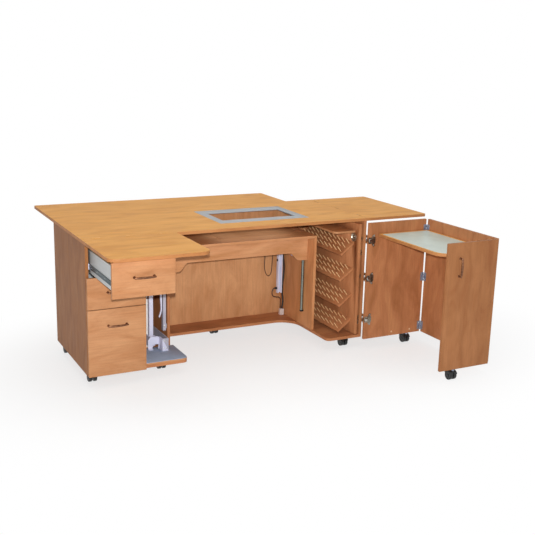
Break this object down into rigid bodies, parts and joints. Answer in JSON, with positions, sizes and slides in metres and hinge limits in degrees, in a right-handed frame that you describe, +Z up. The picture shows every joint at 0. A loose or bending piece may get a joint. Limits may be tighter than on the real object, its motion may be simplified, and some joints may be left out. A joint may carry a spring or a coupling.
{
  "type": "sewing cabinet",
  "caption": "Sewing cabinet on casters: folding top leaves, a machine lift, drawers, a folding door set with a flap table, and a pull-out thread rack.",
  "frame": {"origin": "on the floor, under the middle of the whole object as it stands open", "axes": "+X towards the thread pedestal, +Y from the user towards the back, +Z up"},
  "size_m": [2.09, 1.713, 0.7824],
  "materials": {
    "top_laminate": "satin laminate with a beech print",
    "front_laminate": "satin laminate with a beech print",
    "inner_laminate": "satin laminate with a beech print",
    "frosted_insert": "frosted acrylic",
    "hinge_steel": "nickel-plated",
    "white_steel": "white powder coat",
    "lift_steel": "grey powder coat",
    "tube_steel": "polished, with a black fitting",
    "cable_black": "smooth sheath",
    "handle_bronze": "dark bronze",
    "mat_grey": "matt cutting mat",
    "caster_black": "moulded",
    "wheel_black": "moulded",
    "beech_pegs": "turned, matt lacquer",
    "pull_metal": "satin"
  },
  "bodies": {
    "cabinet": {"left_side_panel": "inner_laminate", "compartment_panels": "inner_laminate", "base_boards": "front_laminate", "back_panels": "inner_laminate", "machine_shelf": "front_laminate", "apron": "front_laminate", "kneehole_right_panel": "inner_laminate", "right_side_panel": "inner_laminate", "main_top": "top_laminate", "machine_insert": "frosted_insert", "fixed_hinge_plates": "hinge_steel", "steel_rails": "white_steel", "guide_tube": "tube_steel", "lift_cables": "cable_black", "caster_plates": "hinge_steel"},
    "front_leaf": {"front_leaf": "top_laminate", "front_leaf_hinges": "hinge_steel"},
    "rear_leaf": {"rear_leaf": "top_laminate", "rear_leaf_hinges": "hinge_steel"},
    "right_leaf": {"right_leaf": "top_laminate", "right_leaf_hinges": "hinge_steel"},
    "door_a": {"door_a": "front_laminate", "door_a_hardware": "hinge_steel"},
    "door_b": {"door_b": "front_laminate", "door_b_hardware": "hinge_steel"},
    "door_c": {"door_c": "front_laminate", "door_c_hardware": "hinge_steel", "door_handle": "handle_bronze"},
    "flap": {"flap_table": "top_laminate", "flap_mat": "mat_grey", "flap_hinges": "hinge_steel"},
    "platform": {"lift_platform": "front_laminate", "lift_frame": "lift_steel"},
    "tray": {"tray": "front_laminate", "tray_carriage": "white_steel"},
    "rack": {"thread_rack": "inner_laminate", "rack_pegs": "beech_pegs", "rack_pull": "pull_metal"},
    "file_drawer": {"file_drawer_front": "front_laminate", "file_drawer_box": "white_steel"},
    "middle_drawer": {"middle_drawer_front": "front_laminate", "middle_drawer_box": "white_steel"},
    "top_drawer": {"top_drawer_front": "front_laminate", "top_drawer_box": "white_steel"},
    "caster_front_left_fork": {"caster_front_left_housing": "caster_black"},
    "caster_front_left_wheel": {"caster_front_left_wheels": "wheel_black"},
    "caster_rear_left_fork": {"caster_rear_left_housing": "caster_black"},
    "caster_rear_left_wheel": {"caster_rear_left_wheels": "wheel_black"},
    "caster_compartment_fork": {"caster_compartment_housing": "caster_black"},
    "caster_compartment_wheel": {"caster_compartment_wheels": "wheel_black"},
    "caster_footboard_fork": {"caster_footboard_housing": "caster_black"},
    "caster_footboard_wheel": {"caster_footboard_wheels": "wheel_black"},
    "caster_front_right_fork": {"caster_front_right_housing": "caster_black"},
    "caster_front_right_wheel": {"caster_front_right_wheels": "wheel_black"},
    "caster_rear_right_fork": {"caster_rear_right_housing": "caster_black"},
    "caster_rear_right_wheel": {"caster_rear_right_wheels": "wheel_black"},
    "caster_door_a_fork": {"caster_door_a_housing": "caster_black"},
    "caster_door_a_wheel": {"caster_door_a_wheels": "wheel_black"},
    "caster_door_c_fork": {"caster_door_c_housing": "caster_black"},
    "caster_door_c_wheel": {"caster_door_c_wheels": "wheel_black"}
  },
  "joints": [
    {"name": "front_leaf_hinge", "type": "hinge", "parent": "cabinet", "child": "front_leaf", "pos_m": [-0.795, -0.165, 0.7804], "axis": [-1, 0, 0], "range_deg": [0, 180]},
    {"name": "right_leaf_hinge", "type": "hinge", "parent": "cabinet", "child": "right_leaf", "pos_m": [0.6285, 0.1725, 0.7804], "axis": [0, -1, 0], "range_deg": [0, 180]},
    {"name": "rear_leaf_hinge", "type": "hinge", "parent": "cabinet", "child": "rear_leaf", "pos_m": [-0.295, 0.51, 0.7611], "axis": [-1, 0, 0], "range_deg": [0, 90]},
    {"name": "top_drawer_slide", "type": "slide", "parent": "cabinet", "child": "top_drawer", "axis": [0, -1, 0], "range_m": [-0.416, 0.014]},
    {"name": "middle_drawer_slide", "type": "slide", "parent": "cabinet", "child": "middle_drawer", "axis": [0, -1, 0], "range_m": [0, 0.43]},
    {"name": "file_drawer_slide", "type": "slide", "parent": "cabinet", "child": "file_drawer", "axis": [0, -1, 0], "range_m": [0, 0.43]},
    {"name": "door_a_hinge", "type": "hinge", "parent": "cabinet", "child": "door_a", "pos_m": [0.6205, -0.1845, 0.431], "axis": [0, 0, 1], "range_deg": [-180, 0]},
    {"name": "door_b_hinge", "type": "hinge", "parent": "door_a", "child": "door_b", "pos_m": [1.02, -0.211, 0.408], "axis": [0, 0, 1], "range_deg": [0, 90]},
    {"name": "door_c_hinge", "type": "hinge", "parent": "door_b", "child": "door_c", "pos_m": [1.02, -0.808, 0.408], "axis": [0, 0, 1], "range_deg": [0, 90]},
    {"name": "flap_hinge", "type": "hinge", "parent": "door_b", "child": "flap", "pos_m": [1.0205, -0.5095, 0.674], "axis": [0, 1, 0], "range_deg": [-90, 0]},
    {"name": "lift_slide", "type": "slide", "parent": "cabinet", "child": "platform", "axis": [0, 0, 1], "range_m": [-0.24, 0.1]},
    {"name": "tray_slide", "type": "slide", "parent": "cabinet", "child": "tray", "axis": [0, 0, 1], "range_m": [0, 0.43]},
    {"name": "rack_slide", "type": "slide", "parent": "cabinet", "child": "rack", "axis": [0, -1, 0], "range_m": [0, 0.42]},
    {"name": "caster_front_left_swivel", "type": "hinge", "parent": "cabinet", "child": "caster_front_left_fork", "pos_m": [-0.98, -0.0845, 0.056], "axis": [0, 0, 1], "continuous": true},
    {"name": "caster_front_left_roll", "type": "hinge", "parent": "caster_front_left_fork", "child": "caster_front_left_wheel", "pos_m": [-0.98, -0.0705, 0.025], "axis": [1, 0, 0], "continuous": true},
    {"name": "caster_rear_left_swivel", "type": "hinge", "parent": "cabinet", "child": "caster_rear_left_fork", "pos_m": [-0.98, 0.4015, 0.056], "axis": [0, 0, 1], "continuous": true},
    {"name": "caster_rear_left_roll", "type": "hinge", "parent": "caster_rear_left_fork", "child": "caster_rear_left_wheel", "pos_m": [-0.98, 0.4155, 0.025], "axis": [1, 0, 0], "continuous": true},
    {"name": "caster_compartment_swivel", "type": "hinge", "parent": "cabinet", "child": "caster_compartment_fork", "pos_m": [-0.585, -0.0465, 0.056], "axis": [0, 0, 1], "continuous": true},
    {"name": "caster_compartment_roll", "type": "hinge", "parent": "caster_compartment_fork", "child": "caster_compartment_wheel", "pos_m": [-0.585, -0.0325, 0.025], "axis": [1, 0, 0], "continuous": true},
    {"name": "caster_footboard_swivel", "type": "hinge", "parent": "cabinet", "child": "caster_footboard_fork", "pos_m": [-0.075, 0.4005, 0.056], "axis": [0, 0, 1], "continuous": true},
    {"name": "caster_footboard_roll", "type": "hinge", "parent": "caster_footboard_fork", "child": "caster_footboard_wheel", "pos_m": [-0.075, 0.4145, 0.025], "axis": [1, 0, 0], "continuous": true},
    {"name": "caster_front_right_swivel", "type": "hinge", "parent": "cabinet", "child": "caster_front_right_fork", "pos_m": [0.542, -0.1085, 0.056], "axis": [0, 0, 1], "continuous": true},
    {"name": "caster_front_right_roll", "type": "hinge", "parent": "caster_front_right_fork", "child": "caster_front_right_wheel", "pos_m": [0.542, -0.0945, 0.025], "axis": [1, 0, 0], "continuous": true},
    {"name": "caster_rear_right_swivel", "type": "hinge", "parent": "cabinet", "child": "caster_rear_right_fork", "pos_m": [0.542, 0.4015, 0.056], "axis": [0, 0, 1], "continuous": true},
    {"name": "caster_rear_right_roll", "type": "hinge", "parent": "caster_rear_right_fork", "child": "caster_rear_right_wheel", "pos_m": [0.542, 0.4155, 0.025], "axis": [1, 0, 0], "continuous": true},
    {"name": "caster_door_a_swivel", "type": "hinge", "parent": "door_a", "child": "caster_door_a_fork", "pos_m": [0.928, -0.1985, 0.056], "axis": [0, 0, 1], "continuous": true},
    {"name": "caster_door_a_roll", "type": "hinge", "parent": "caster_door_a_fork", "child": "caster_door_a_wheel", "pos_m": [0.928, -0.1845, 0.025], "axis": [1, 0, 0], "continuous": true},
    {"name": "caster_door_c_swivel", "type": "hinge", "parent": "door_c", "child": "caster_door_c_fork", "pos_m": [0.784, -0.8205, 0.056], "axis": [0, 0, 1], "continuous": true},
    {"name": "caster_door_c_roll", "type": "hinge", "parent": "caster_door_c_fork", "child": "caster_door_c_wheel", "pos_m": [0.784, -0.8065, 0.025], "axis": [1, 0, 0], "continuous": true}
  ],
  "couplings": [
    {"joint": "door_b_hinge", "follows": "door_a_hinge", "ratio": -0.5},
    {"joint": "door_c_hinge", "follows": "door_a_hinge", "ratio": -0.5}
  ]
}
